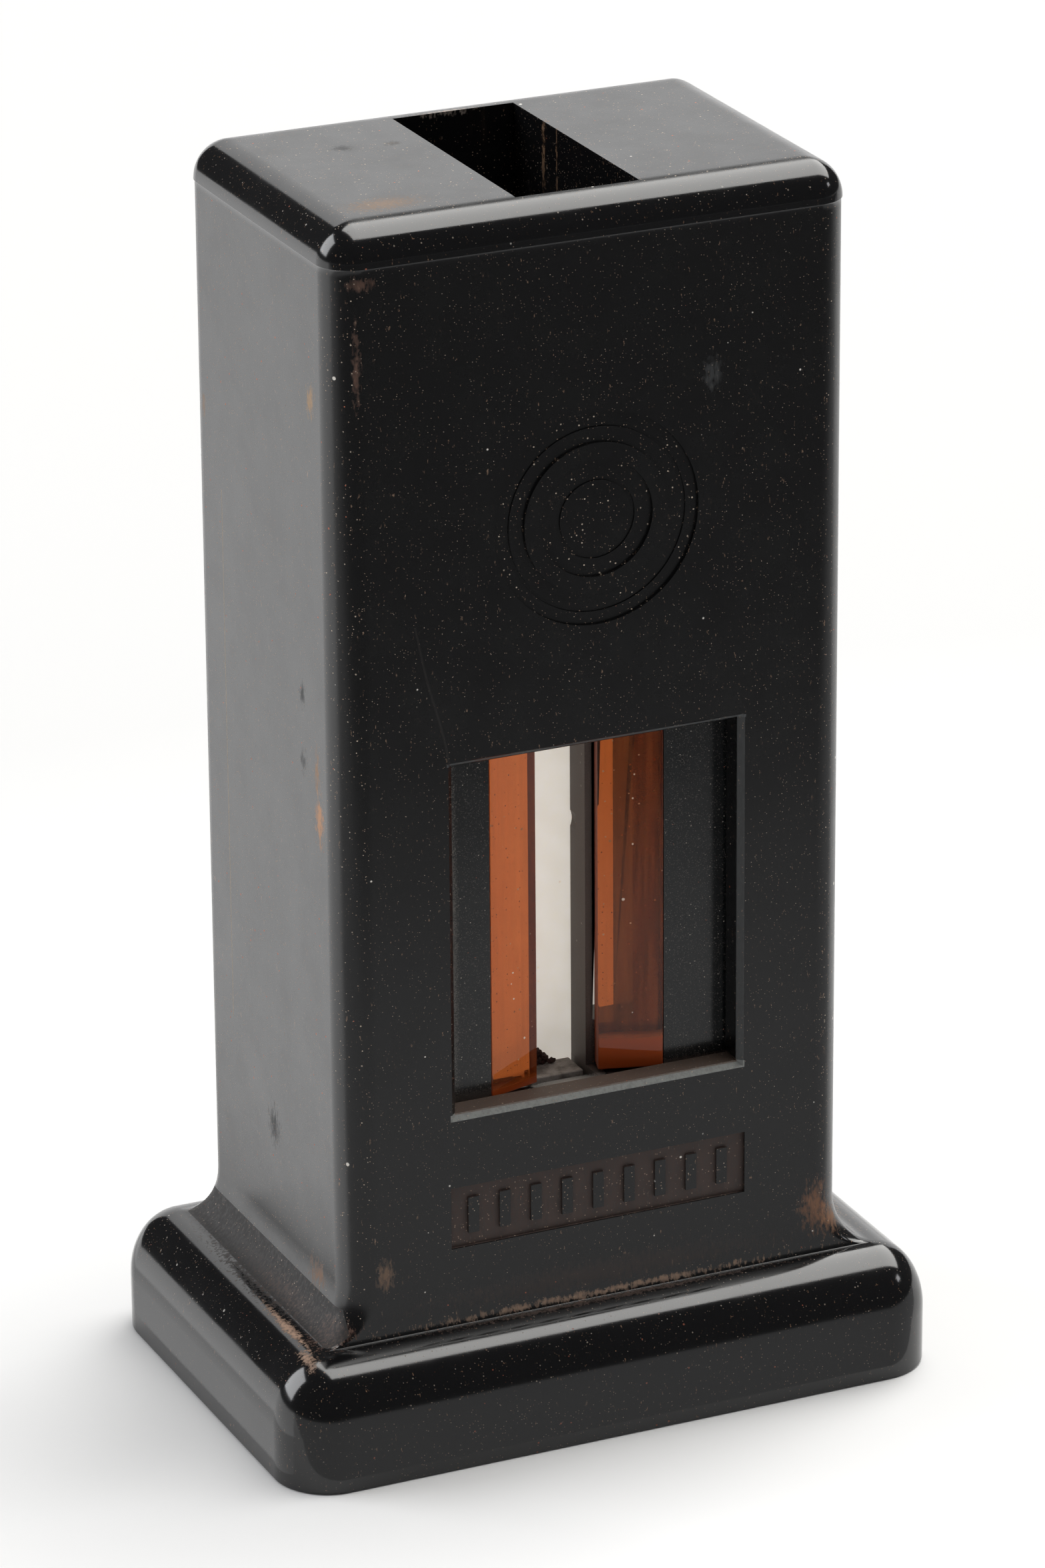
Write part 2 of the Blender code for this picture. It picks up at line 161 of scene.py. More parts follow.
# The rings that the skin runs through: (half width, half depth, corner, height).
rings = [(FOOT_X - 0.35, FOOT_Y - 0.35, FOOT_CORNER - 0.35, 0.0),
         (FOOT_X - 0.10, FOOT_Y - 0.10, FOOT_CORNER - 0.10, 0.10),
         (FOOT_X, FOOT_Y, FOOT_CORNER, 0.35), (FOOT_X, FOOT_Y, FOOT_CORNER, 5.6)]
for i in range(17):
    turn = math.radians(90.0 * i / 16)
    back = 1.0 - math.cos(turn)
    rings.append((FOOT_X - ROLL_X * back, FOOT_Y - ROLL_Y * back,
                  max(FOOT_CORNER - 5.15 * back, CROWN_CORNER), FOOT_UPRIGHT + ROLL_Z * math.sin(turn)))
for i in range(1, 11):
    turn = math.radians(90.0 * i / 10)
    gone = 1.0 - math.sin(turn)
    rings.append((COLUMN_X + COVE_X * gone, COLUMN_Y + COVE_Y * gone,
                  CROWN_CORNER + (COLUMN_CORNER - CROWN_CORNER) * math.sin(turn),
                  CROWN + COVE_Z * (1.0 - math.cos(turn))))
rings += [(COLUMN_X, COLUMN_Y, COLUMN_CORNER, z) for z in (17.6, 115.6, 116.12)]
for i in range(15):
    turn = math.radians(90.0 * i / 14)
    back = RIM_ROLL * (1.0 - math.cos(turn))
    rings.append((COLUMN_X + RIM_PROUD - back, COLUMN_Y + RIM_PROUD - back,
                  max(COLUMN_CORNER + RIM_PROUD - back, 0.32), RIM_LOW + RIM_ROLL * math.sin(turn)))
rings.append((COLUMN_X - 4.6, COLUMN_Y - 4.6, 0.30, HEIGHT))

bpy.ops.object.select_all(action="DESELECT")
bpy.ops.mesh.primitive_circle_add(vertices=len(rounded_outline(*rings[0][:3])), radius=20 * MM,
                                  fill_type="NGON")
housing = bpy.context.object
housing.name = "housing_shell"
bpy.ops.object.mode_set(mode="EDIT")
skin = bmesh.from_edit_mesh(housing.data)
order = sorted(skin.verts, key=lambda v: math.atan2(v.co.y, v.co.x) % (2 * math.pi))
for count, (half_x, half_y, corner, z) in enumerate(rings):
    if count:
        # the top face is drawn up and its rim slid to the next outline
        bpy.ops.mesh.extrude_region_move()
        skin = bmesh.from_edit_mesh(housing.data)
        near = {(round(v.co.x, 7), round(v.co.y, 7)): v for v in skin.verts if v.select}
        order = [near[key] for key in keys]
    for vert, (x, y) in zip(order, rounded_outline(half_x, half_y, corner)):
        vert.co = (x * MM, y * MM, z * MM)
    keys = [(round(v.co.x, 7), round(v.co.y, 7)) for v in order]
    bmesh.update_edit_mesh(housing.data)
bpy.ops.mesh.select_all(action="SELECT")
bpy.ops.mesh.normals_make_consistent(inside=False)
bpy.ops.object.mode_set(mode="OBJECT")

# Hollows: the foot, the cell behind the window, the blind upper cells and the slot.
foot_hollow = box("foot_hollow", (-30.3, -19.6, -2.0), (30.3, 19.6, 6.6))
only(foot_hollow)
bpy.ops.object.mode_set(mode="EDIT")
bpy.ops.mesh.select_mode(type="EDGE")
pick(foot_hollow, "edges", lambda edge: abs(edge.verts[0].co.z - edge.verts[1].co.z) > 1 * MM)
bpy.ops.mesh.bevel(offset=3 * MM, segments=8)
bpy.ops.object.mode_set(mode="OBJECT")
work(housing, foot_hollow)
for name, low, high in (
        ("front_cell", (-22.95, -14.40, 5.6), (22.95, 9.30, 81.0)),
        ("back_cell", (-13.90, 8.70, 5.4), (13.90, 14.30, 80.8)),
        ("back_low", (-22.80, 8.90, 5.2), (22.80, 14.20, 18.0)),
        ("left_cell", (-22.85, -14.25, 80.1), (-8.65, 14.15, 115.6)),
        ("right_cell", (7.85, -14.25, 80.1), (22.85, 14.15, 115.6)),
        ("rear_opening", (-18.2, 14.2, 22.2), (18.2, 18.6, 77.8))):
    work(housing, box(name, low, high))
work(housing, box("tube_slot", (-6.50, -14.10, 80.0), (5.70, 13.25, 122.0)))

# The front window flares by half a millimetre at the face.
window = box("window", (-WINDOW_X, -16.65, WINDOW_LOW), (WINDOW_X, -13.6, WINDOW_HIGH))
only(window)
bpy.ops.object.mode_set(mode="EDIT")
bpy.ops.mesh.select_mode(type="FACE")
pick(window, "faces", lambda face: face.normal.y < -0.5)
bpy.ops.mesh.extrude_region_move(TRANSFORM_OT_translate={"value": (0, -WINDOW_FLARE * MM, 0)})
bpy.ops.transform.resize(value=((WINDOW_X + WINDOW_FLARE) / WINDOW_X, 1, (WINDOW_Z + WINDOW_FLARE) / WINDOW_Z),
                         center_override=(0, 0, WINDOW_MIDDLE * MM))
bpy.ops.object.mode_set(mode="OBJECT")
work(housing, window)

# The sunk panel with nine plain ribs, and the round recess with its plain rings.
work(housing, box("panel", (-15.15, -18.2, 19.90), (15.15, -16.75, 26.10)))
for i in range(9):
    rib = box("rib", (-13.35 + 3.2 * i, -17.03, 21.2), (-12.25 + 3.2 * i, -16.4, 24.8))
    work(housing, rib, "UNION")
for radius, inner, depth in ((10.2, 7.2, 0.30), (5.6, None, 0.30), (9.0, 8.65, 0.42), (3.9, 3.55, 0.42)):
    sunk = round_bar("sunk", radius, (0, -18.0, BADGE_Z), (0, WALL_FACE + depth, BADGE_Z), 96)
    if inner:
        work(sunk, round_bar("core", inner, (0, -19.0, BADGE_Z), (0, -16.0, BADGE_Z), 96))
    work(housing, sunk)

# Screw bores, and the bosses that take the base plate's screws.
for x, z in COVER_SCREWS:
    work(housing, round_bar("bore", SCREW_BORE, (x, 10.1, z), (x, 14.9, z), 20))
for x, z in CARRIER_SCREWS:
    work(housing, round_bar("bore", SCREW_BORE, (x, -16.5, z), (x, -13.6, z), 20))
for x, y in ((-26.3, -15.6), (-26.3, 15.6), (26.3, -15.6), (26.3, 15.6)):
    work(housing, round_bar("boss", 2.8, (x, y, 2.4), (x, y, 7.3), 32), "UNION")
    work(housing, round_bar("bore", SCREW_BORE, (x, y, 1.4), (x, y, 6.8), 20))
smooth(housing, 34)


def from_hex(code, alpha=1.0):
    """An sRGB hex colour as linear red, green, blue and alpha."""
    channels = [int(code[i:i + 2], 16) / 255 for i in (1, 3, 5)]
    return [c / 12.92 if c <= 0.04045 else ((c + 0.055) / 1.055) ** 2.4 for c in channels] + [alpha]


def add(tree, kind, inputs=None, **settings):
    """Adds a shader node, with its settings, its input values and its links."""
    made = tree.nodes.new("ShaderNode" + kind)
    for key, value in settings.items():
        setattr(made, key, value)
    for key, value in (inputs or {}).items():
        if isinstance(value, bpy.types.NodeSocket):
            tree.links.new(value, made.inputs[key])
        else:
            made.inputs[key].default_value = value
    return made


def new_finish(name):
    """A new material, with its node tree and its Principled shader."""
    made = bpy.data.materials.new(name)
    made.use_nodes = True
    return made, made.node_tree, made.node_tree.nodes["Principled BSDF"]


def in_mm(tree):
    """Object coordinates in mm, so that each pattern's scale is a count per mm."""
    coordinates = add(tree, "TexCoord").outputs["Object"]
    return add(tree, "VectorMath", {0: coordinates, "Scale": 1 / MM}, operation="SCALE").outputs[0]


def patch_space(tree, place, centre, half):
    """Coordinates that are 0 at a patch's centre and 1 at its edges."""
    local = add(tree, "VectorMath", {0: place, 1: centre}, operation="SUBTRACT").outputs[0]
    return add(tree, "VectorMath", {0: local, 1: half}, operation="DIVIDE").outputs[0]


def speck(tree, place, scale, radius, share, seed):
    """Round specks of many sizes: 1 inside those Voronoi cells that show one, else 0."""
    moved = add(tree, "VectorMath", {0: place, 1: (seed, seed, seed)}).outputs[0]
    cells = add(tree, "TexVoronoi", {"Vector": moved, "Scale": scale})
    kept = add(tree, "SeparateColor", {0: cells.outputs["Color"]})
    size = add(tree, "Math", {0: kept.outputs[1], 1: radius}, operation="MULTIPLY").outputs[0]
    near = add(tree, "Math", {0: cells.outputs["Distance"], 1: size}, operation="LESS_THAN").outputs[0]
    chosen = add(tree, "Math", {0: kept.outputs[0], 1: share}, operation="GREATER_THAN").outputs[0]
    return add(tree, "Math", {0: near, 1: chosen}, operation="MULTIPLY").outputs[0]


# Black phenolic, IOR about 1.6. The eye gets deep black, the lights in the rolls,
# a grey satin sheen on the ground faces, and brown handling dust in every corner.
phenolic, tree, shader = new_finish("black_phenolic_moulding")
shader.inputs["IOR"].default_value = 1.58
place = in_mm(tree)
xyz = add(tree, "SeparateXYZ", {0: place})
height = xyz.outputs[2]

# Gloss (1) on the rolls, satin (0) on the ground column and top.
gloss = add(tree, "ValToRGB", {0: add(tree, "Math", {0: height, 1: 1 / HEIGHT},
                                      operation="MULTIPLY").outputs[0]})
gloss.color_ramp.interpolation = "LINEAR"
stops = gloss.color_ramp.elements
stops[0].position, stops[0].color = 0.0, (1, 1, 1, 1)
stops[1].position, stops[1].color = 12.4 / HEIGHT, (1, 1, 1, 1)
for at, level in ((14.0, 0.0), (116.1, 0.0), (116.35, 1.0), (119.80, 1.0), (119.97, 0.0)):
    stop = stops.new(at / HEIGHT)
    stop.color = (level, level, level, 1)
gloss = gloss.outputs[0]

# Uneven ground: slow waves in the moulding, fine grinding lines, and scratches.
waves = add(tree, "TexNoise", {"Vector": place, "Scale": 0.055, "Detail": 1.0}).outputs[0]
peel = add(tree, "TexNoise", {"Vector": place, "Scale": 0.55, "Detail": 2.0}).outputs[0]
upright = add(tree, "VectorMath", {0: place, 1: (5.0, 5.0, 0.10)}, operation="MULTIPLY").outputs[0]
grinding = add(tree, "TexNoise", {"Vector": upright, "Scale": 1.0, "Detail": 4.0,
                                  "Roughness": 0.65}).outputs[0]
mottle = add(tree, "TexNoise", {"Vector": place, "Scale": 0.22, "Detail": 6.0, "Roughness": 0.62}).outputs[0]

# Dust: four sizes of speck, each drawn in only some of a Voronoi pattern's cells.
specks = []
for scale, radius, share, code, seed in (
        (1.9, 0.14, 0.38, "#A09282", 0.0), (0.9, 0.075, 0.70, "#A8583A", 31.0),
        (0.42, 0.065, 0.72, "#C9C4BC", 77.0), (3.6, 0.20, 0.45, "#8A7462", 12.0)):
    moved = add(tree, "VectorMath", {0: place, 1: (seed, seed * 0.7, seed * 0.3)}).outputs[0]
    cells = add(tree, "TexVoronoi", {"Vector": moved, "Scale": scale})
    kept = add(tree, "SeparateColor", {0: cells.outputs["Color"]})
    size = add(tree, "Math", {0: kept.outputs[1], 1: radius}, operation="MULTIPLY").outputs[0]
    near = add(tree, "MapRange", {0: cells.outputs["Distance"],
                                  1: add(tree, "Math", {0: size, 1: 0.02}).outputs[0],
                                  2: size, 3: 0.0, 4: 1.0}).outputs[0]
    chosen = add(tree, "Math", {0: kept.outputs[0], 1: share}, operation="GREATER_THAN").outputs[0]
    # the glossy rolls hold less dust than the satin faces
    thin = add(tree, "MapRange", {0: gloss, 1: 0.0, 2: 1.0, 3: 1.0, 4: 0.40}).outputs[0]
    shown = add(tree, "Math", {0: near, 1: chosen}, operation="MULTIPLY").outputs[0]
    specks.append((add(tree, "Math", {0: shown, 1: thin}, operation="MULTIPLY").outputs[0], code))

# Brown grime, as (centre, half sizes, strength, colour), each with a ragged edge.
grime = [
    ((-27.9, 0.0, 13.4), (3.2, 24.0, 3.2), 0.95, "#241A16"),      # cove on the left
    ((-27.4, -6.0, 13.2), (2.2, 14.0, 1.8), 0.70, "#5A3A28"),
    ((-27.2, -15.5, 13.2), (4.4, 4.4, 2.0), 0.85, "#5E3F30"),
    ((-29.3, -11.0, 12.2), (0.75, 9.5, 1.6), 0.95, "#A58670"),    # worn crown of the foot
    ((-30.0, -17.5, 11.6), (1.0, 3.0, 1.6), 0.80, "#9A7C66"),
    ((28.9, 0.0, 13.4), (3.6, 19.0, 3.0), 0.75, "#8A7464"),       # cove on the right
    ((0.0, 17.6, 13.0), (27.0, 1.8, 1.6), 0.60, "#4A3326"),       # behind
    ((0.0, -17.6, 12.7), (31.0, 0.9, 0.6), 0.95, "#8E7460"),      # dust line along the front of the column
    ((0.0, -18.0, 12.4), (30.0, 0.9, 0.9), 0.60, "#46332A"),
    ((0.0, -17.3, 14.6), (30.0, 1.0, 2.4), 0.30, "#4A3830"),
    ((22.8, -17.2, 17.0), (2.9, 1.0, 4.2), 0.72, "#7E5232"),      # handled corners
    ((24.3, -16.6, 15.2), (1.9, 1.4, 3.0), 0.60, "#8A5E3C"),
    ((-21.9, -17.1, 18.6), (1.3, 0.9, 2.6), 0.55, "#86664C"),
    ((-23.3, -16.9, 107.0), (0.65, 0.8, 6.4), 0.62, "#6E4630"),
    ((-22.9, -16.9, 114.9), (2.4, 0.8, 1.2), 0.50, "#6E4630"),
    ((-25.6, -11.9, 103.0), (0.8, 1.4, 2.6), 0.70, "#A8845A"),
    ((-25.6, -12.4, 62.9), (0.8, 1.6, 4.4), 0.80, "#B0805A"),
    ((-25.6, -12.0, 67.5), (0.8, 1.0, 3.8), 0.55, "#9A7048"),
    ((-25.6, -10.0, 16.4), (0.7, 3.0, 2.6), 0.60, "#8A6446"),
    ((-25.6, 13.6, 95.0), (0.7, 1.0, 2.2), 0.45, "#8A6A48"),
    ((5.9, 6.5, 117.0), (0.5, 0.8, 7.0), 0.75, "#8A6A4E"),        # drips on the slot's right wall
    ((5.9, 3.6, 116.0), (0.5, 0.35, 7.0), 0.65, "#8A6A4E"),
    ((-1.0, 13.4, 119.9), (5.2, 0.35, 0.6), 0.60, "#B0A296"),     # chipped edges of the slot
    ((11.6, -17.2, 101.8), (1.5, 0.5, 2.6), 0.55, "#3A3D3F"),     # smudge on the front
    ((-25.7, -8.8, 74.0), (0.4, 1.3, 2.0), 0.75, "#15171A"),      # oval stains on the left
    ((-25.7, -8.9, 67.6), (0.4, 1.2, 2.0), 0.60, "#15171A"),
    ((-25.7, 0.0, 27.7), (0.4, 2.2, 3.2), 0.75, "#15171A"),
    ((-14.3, 6.5, 120.0), (1.7, 1.5, 0.4), 0.60, "#17191B"),      # water stains on the top
    ((-9.6, 5.9, 120.0), (1.5, 1.2, 0.4), 0.50, "#3C352E"),
    ((-18.0, -11.0, 120.0), (6.5, 3.2, 0.4), 0.42, "#8A6A4A"),
]
shell_colour = add(tree, "RGB").outputs[0]
shell_colour.default_value = from_hex("#0D0D0E")
dust_and_painted_highlight = None
ragged = add(tree, "VectorMath", {0: add(tree, "TexNoise",
                                         {"Vector": place, "Scale": 1.3, "Detail": 5.0}).outputs["Color"],
                                  1: (0.5, 0.5, 0.5)}, operation="SUBTRACT").outputs[0]
pushed = add(tree, "VectorMath", {0: ragged, "Scale": 2.4}, operation="SCALE").outputs[0]
streaky = add(tree, "TexNoise", {"Vector": add(tree, "VectorMath", {0: place, 1: (3.2, 3.2, 1.1)},
                                               operation="MULTIPLY").outputs[0],
                                 "Scale": 1.0, "Detail": 6.0, "Roughness": 0.7}).outputs[0]
crumble = add(tree, "MapRange", {0: streaky, 1: 0.30, 2: 0.70, 3: 0.12, 4: 0.95}).outputs[0]
for centre, half, strength, code in grime:
    local = patch_space(tree, place, centre, half)
    frayed = [min(0.5, 0.35 / h) for h in half]
    frayed = add(tree, "VectorMath", {0: pushed, 1: frayed}, operation="MULTIPLY").outputs[0]
    local = add(tree, "VectorMath", {0: local, 1: frayed}).outputs[0]
    fade = add(tree, "TexGradient", {0: local}, gradient_type="SPHERICAL").outputs[1]
    eaten = add(tree, "Math", {0: add(tree, "Math", {0: fade, 1: 0.9}, operation="MULTIPLY").outputs[0],
                               1: crumble}, operation="SUBTRACT").outputs[0]
    spot = add(tree, "MapRange", {0: eaten, 1: -0.22, 2: 0.25, 3: 0.0, 4: strength}).outputs[0]
    shell_colour = add(tree, "Mix", {0: spot, 6: shell_colour, 7: from_hex(code)},
                       data_type="RGBA").outputs[2]
    dust_and_painted_highlight = spot if dust_and_painted_highlight is None else add(tree, "Math", {0: dust_and_painted_highlight, 1: spot}, operation="MAXIMUM").outputs[0]
# Dirt that fills or rubs a straight-edged place, and painted highlights on the window's three bevels: (centre,
# half sizes, strength, colour).
for centre, half, strength, code in (
        ((0.0, -16.75, 23.0), (15.25, 0.22, 3.15), 0.95, "#40302A"),         # floor of the sunk panel
        # painted highlight on the lower bevel of the window
        ((0.0, -16.90, 33.15), (15.1, 0.32, 0.34), 1.00, "#747673"),
        ((14.70, -16.90, 50.6), (0.30, 0.35, 17.6), 0.45, "#4E5152"),        # painted highlight on the right bevel
        ((0.0, -16.90, 68.15), (15.1, 0.32, 0.14), 0.50, "#5C5F60"),         # painted highlight on the top bevel
        ((0.0, -15.30, 33.30), (14.5, 1.45, 0.25), 0.95, "#54443A"),         # dust on the sill
        ((-27.9, -0.2, 13.75), (2.3, 17.0, 1.45), 0.90, "#120D0B"),          # dirt packed in the left cove
        ((-25.7, 9.7, 61.5), (0.2, 0.07, 26.4), 0.80, "#8A7C6A")):           # a long scratch on the left
    local = patch_space(tree, place, centre, half)
    sides = add(tree, "SeparateXYZ", {0: add(tree, "VectorMath", {0: local},
                                             operation="ABSOLUTE").outputs[0]})
    inside = add(tree, "Math", {0: sides.outputs[0], 1: sides.outputs[1]}, operation="MAXIMUM").outputs[0]
    inside = add(tree, "Math", {0: inside, 1: sides.outputs[2]}, operation="MAXIMUM").outputs[0]
    inside = add(tree, "Math", {0: inside, 1: 1.0}, operation="LESS_THAN").outputs[0]
    worn = add(tree, "MapRange", {0: streaky, 1: 0.30, 2: 0.55, 3: 0.45 * strength, 4: strength}).outputs[0]
    spot = add(tree, "Math", {0: inside, 1: worn}, operation="MULTIPLY").outputs[0]
    shell_colour = add(tree, "Mix", {0: spot, 6: shell_colour, 7: from_hex(code)},
                       data_type="RGBA").outputs[2]
    dust_and_painted_highlight = add(tree, "Math", {0: dust_and_painted_highlight, 1: spot}, operation="MAXIMUM").outputs[0]
for cover, code in specks:
    shell_colour = add(tree, "Mix", {0: cover, 6: shell_colour, 7: from_hex(code)},
                       data_type="RGBA").outputs[2]
    dust_and_painted_highlight = add(tree, "Math", {0: dust_and_painted_highlight, 1: cover}, operation="MAXIMUM").outputs[0]
# A hairline crack runs down the front to the window's top left corner.
lean = add(tree, "MapRange", {0: height, 1: 68.0, 2: 82.0, 3: -14.70, 4: -18.2}).outputs[0]
sway = add(tree, "Math", {0: add(tree, "Math", {0: waves, 1: 0.5}, operation="SUBTRACT").outputs[0], 1: 2.4},
           operation="MULTIPLY").outputs[0]
beside = add(tree, "Math", {0: add(tree, "Math", {0: xyz.outputs[0], 1: lean},
                                   operation="SUBTRACT").outputs[0], 1: sway}, operation="ADD").outputs[0]
crack = add(tree, "MapRange", {0: add(tree, "Math", {0: beside}, operation="ABSOLUTE").outputs[0], 1: 0.05,
                               2: 0.12, 3: 1.0, 4: 0.0}).outputs[0]
for value, bound, kind in ((height, 82.0, "LESS_THAN"), (height, 67.6, "GREATER_THAN"),
                           (xyz.outputs[1], -16.6, "LESS_THAN")):
    crack = add(tree, "Math", {0: crack, 1: add(tree, "Math", {0: value, 1: bound},
                                                operation=kind).outputs[0]}, operation="MULTIPLY").outputs[0]
shell_colour = add(tree, "Mix", {0: crack, 6: shell_colour, 7: from_hex("#1C1918")},
                   data_type="RGBA").outputs[2]
tree.links.new(shell_colour, shader.inputs["Base Color"])

satin = add(tree, "MapRange", {0: mottle, 1: 0.3, 2: 0.7, 3: 0.22, 4: 0.30}).outputs[0]
shine = add(tree, "MapRange", {0: mottle, 1: 0.3, 2: 0.7, 3: 0.09, 4: 0.15}).outputs[0]
level = add(tree, "Mix", {0: gloss, 2: satin, 3: shine}).outputs[0]
level = add(tree, "Mix", {0: dust_and_painted_highlight, 2: level, 3: 0.75}).outputs[0]
tree.links.new(level, shader.inputs["Roughness"])

bump = add(tree, "Bump", {"Height": waves, "Strength": 1.0, "Distance": 0.00010})
bump = add(tree, "Bump", {"Height": peel, "Strength": 0.30, "Distance": 0.00001, "Normal": bump.outputs[0]})
bump = add(tree, "Bump", {"Height": crack, "Strength": 0.5, "Distance": 0.00003, "Normal": bump.outputs[0]},
           invert=True)
lines = add(tree, "Math", {0: add(tree, "Math", {0: 1.0, 1: gloss}, operation="SUBTRACT").outputs[0],
                           1: 0.5}, operation="MULTIPLY")
bump = add(tree, "Bump", {"Height": grinding, "Strength": lines.outputs[0], "Distance": 0.000004,
                          "Normal": bump.outputs[0]})
bump = add(tree, "Bump", {"Height": specks[0][0], "Strength": 0.5, "Distance": 0.00003,
                          "Normal": bump.outputs[0]})
tree.links.new(bump.outputs[0], shader.inputs["Normal"])
housing.data.materials.append(phenolic)
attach(housing, "stand")
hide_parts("housing")

# ---- Standards carrier: the block behind the window ------------------------------
# A second phenolic moulding, screwed to the inside of the front wall. It holds the
# two glasses at a slant, a light well behind each, and the gap that the tube stands in.
def outline_block(name, outline, low, high):
    """A flat outline of (x, y) points drawn up from one height to another, in mm."""
    bpy.ops.object.select_all(action="DESELECT")
    bpy.ops.mesh.primitive_circle_add(vertices=len(outline), radius=1 * MM, fill_type="NGON")
    piece = bpy.context.object
    piece.name = name
    for vert, (x, y) in zip(piece.data.vertices, outline):
        vert.co = (x * MM, y * MM, low * MM)
    bpy.ops.object.mode_set(mode="EDIT")
    bpy.ops.mesh.select_all(action="SELECT")
    bpy.ops.mesh.extrude_region_move(TRANSFORM_OT_translate={"value": (0, 0, (high - low) * MM)})
    bpy.ops.mesh.select_all(action="SELECT")
    bpy.ops.mesh.normals_make_consistent(inside=False)
    bpy.ops.object.mode_set(mode="OBJECT")
    return piece


GLASS_THICK, GLASS_LOW, GLASS_HIGH = 2.20, 33.0, 70.6
SEAT_PLAY = 0.08
glasses = {"left": ((-9.50, -14.10), (-4.20, -12.60)), "right": ((8.10, -14.10), (2.14, -12.36))}


def slab(outer, inner, thick, play=0.0):
    """Corners of a plate that stands on edge, its front running from outer to inner."""
    run = (inner[0] - outer[0], inner[1] - outer[1])
    length = math.hypot(*run)
    along = (run[0] / length, run[1] / length)
    back = (-along[1], along[0]) if along[0] > 0 else (along[1], -along[0])
    front = [(outer[0] - along[0] * play - back[0] * play, outer[1] - along[1] * play - back[1] * play),
             (inner[0] + along[0] * play - back[0] * play, inner[1] + along[1] * play - back[1] * play)]
    rear = [(x + back[0] * (thick + 2 * play), y + back[1] * (thick + 2 * play)) for x, y in front]
    return [front[0], front[1], rear[1], rear[0]]


carrier = box("carrier_block", (-18.30, -14.05, 27.0), (18.30, -4.30, 76.5))
work(carrier, box("rebate", (-19.3, -6.90, 28.7), (19.3, -3.3, 71.8)))
work(carrier, box("gap", (-4.15, -15.05, 32.65), (1.90, -6.20, 77.5)))
work(carrier, box("rest_pocket", (-4.14, -12.10, 30.60), (1.89, -5.90, 34.0)))
work(carrier, box("left_well", (-9.30, -12.40, 31.9), (-4.85, -5.90, 70.9)))
work(carrier, box("right_well", (2.60, -12.40, 37.2), (6.20, -5.90, 70.9)))
work(carrier, box("left_web", (-4.95, -12.40, 31.8), (-4.05, -6.80, 71.0)))
for outer, inner in glasses.values():
    side = 1.0 if outer[0] > inner[0] else -1.0
    rear_inner, rear_outer = slab(outer, inner, GLASS_THICK, SEAT_PLAY)[2:]
    edge = outer[0] + SEAT_PLAY * side
    mouth = inner[0] - 0.5 * side
    seat = [(edge, -15.5), (mouth, -15.5), (mouth, rear_inner[1]), rear_inner, rear_outer, (edge, outer[1] + 0.2)]
    work(carrier, outline_block("seat", seat, 32.7, 70.9))
for x, z in CARRIER_SCREWS:
    work(carrier, round_bar("screw_hole", SCREW_BORE, (x, -15.0, z), (x, -6.0, z), 24))
for x, z in ((-14.6, 51.0), (11.0, 51.0)):
    work(carrier, round_bar("clip_hole", 1.1, (x, -10.9, z), (x, -6.5, z), 24))
work(carrier, round_bar("spring_hole", 0.95, (-1.1, -5.8, 74.2), (-1.1, -3.8, 74.2), 24))
# a chip out of the gap's right-hand wall, beside the opal plate
work(carrier, round_bar("chip", 2.0, (0.07, -8.1, 56.6), (0.07, -6.7, 56.6), 64))
ease(carrier, 0.10, 2, 50)
smooth(carrier)

# Phenolic again, semi-gloss as moulded, blue-black where it mirrors the paper, with loose dust that has fallen in
# from the window, a painted highlight on the gap's lip, and a painted reflection of the opal plate, with dust, on
# the gap's wall.
carrier_phenolic, tree, shader = new_finish("semi_gloss_phenolic")
shader.inputs["IOR"].default_value = 1.60
place = in_mm(tree)
clouds = add(tree, "TexNoise", {"Vector": place, "Scale": 0.35, "Detail": 6.0}).outputs[0]
grit = add(tree, "TexNoise", {"Vector": place, "Scale": 9.0, "Detail": 3.0}).outputs[0]
colour = add(tree, "Mix", {0: clouds, 6: from_hex("#0C0E0F"), 7: from_hex("#17191A")},
             data_type="RGBA").outputs[2]
cover = None
for scale, radius, share, code, seed in (
        (2.0, 0.12, 0.55, "#8E867C", 5.0), (1.1, 0.12, 0.70, "#8A4A30", 9.0), (0.8, 0.10, 0.6, "#B8B2A8", 3.0)):
    spot = speck(tree, place, scale, radius, share, seed)
    colour = add(tree, "Mix", {0: spot, 6: colour, 7: from_hex(code)}, data_type="RGBA").outputs[2]
    cover = spot if cover is None else add(tree, "Math", {0: cover, 1: spot}, operation="MAXIMUM").outputs[0]
for centre, half, strength, code in (
        ((2.2, -9.5, 52.0), (1.0, 7.0, 60.0), 0.85, "#5E5049"),      # gap wall: dust, and a painted reflection of the opal plate
        ((-1.1, -13.2, 32.5), (4.6, 1.8, 0.9), 0.90, "#8E8882"),      # painted highlight on the lip
        ((-14.2, -14.0, 48.0), (1.7, 0.6, 34.0), 0.45, "#8C867C"),    # left edge
        ((-12.0, -14.0, 33.0), (8.0, 0.6, 1.6), 0.55, "#4C4038"),
        ((2.0, -14.0, 32.9), (22.0, 0.8, 1.0), 0.75, "#54433A")):
    local = patch_space(tree, place, centre, half)
    fade = add(tree, "TexGradient", {0: local}, gradient_type="SPHERICAL").outputs[1]
    eaten = add(tree, "Math", {0: fade, 1: grit}, operation="SUBTRACT").outputs[0]
    spot = add(tree, "MapRange", {0: eaten, 1: -0.4, 2: 0.25, 3: 0.0, 4: strength}).outputs[0]
    colour = add(tree, "Mix", {0: spot, 6: colour, 7: from_hex(code)}, data_type="RGBA").outputs[2]
    cover = add(tree, "Math", {0: cover, 1: spot}, operation="MAXIMUM").outputs[0]
tree.links.new(colour, shader.inputs["Base Color"])
level = add(tree, "MapRange", {0: clouds, 1: 0.3, 2: 0.7, 3: 0.14, 4: 0.24}).outputs[0]
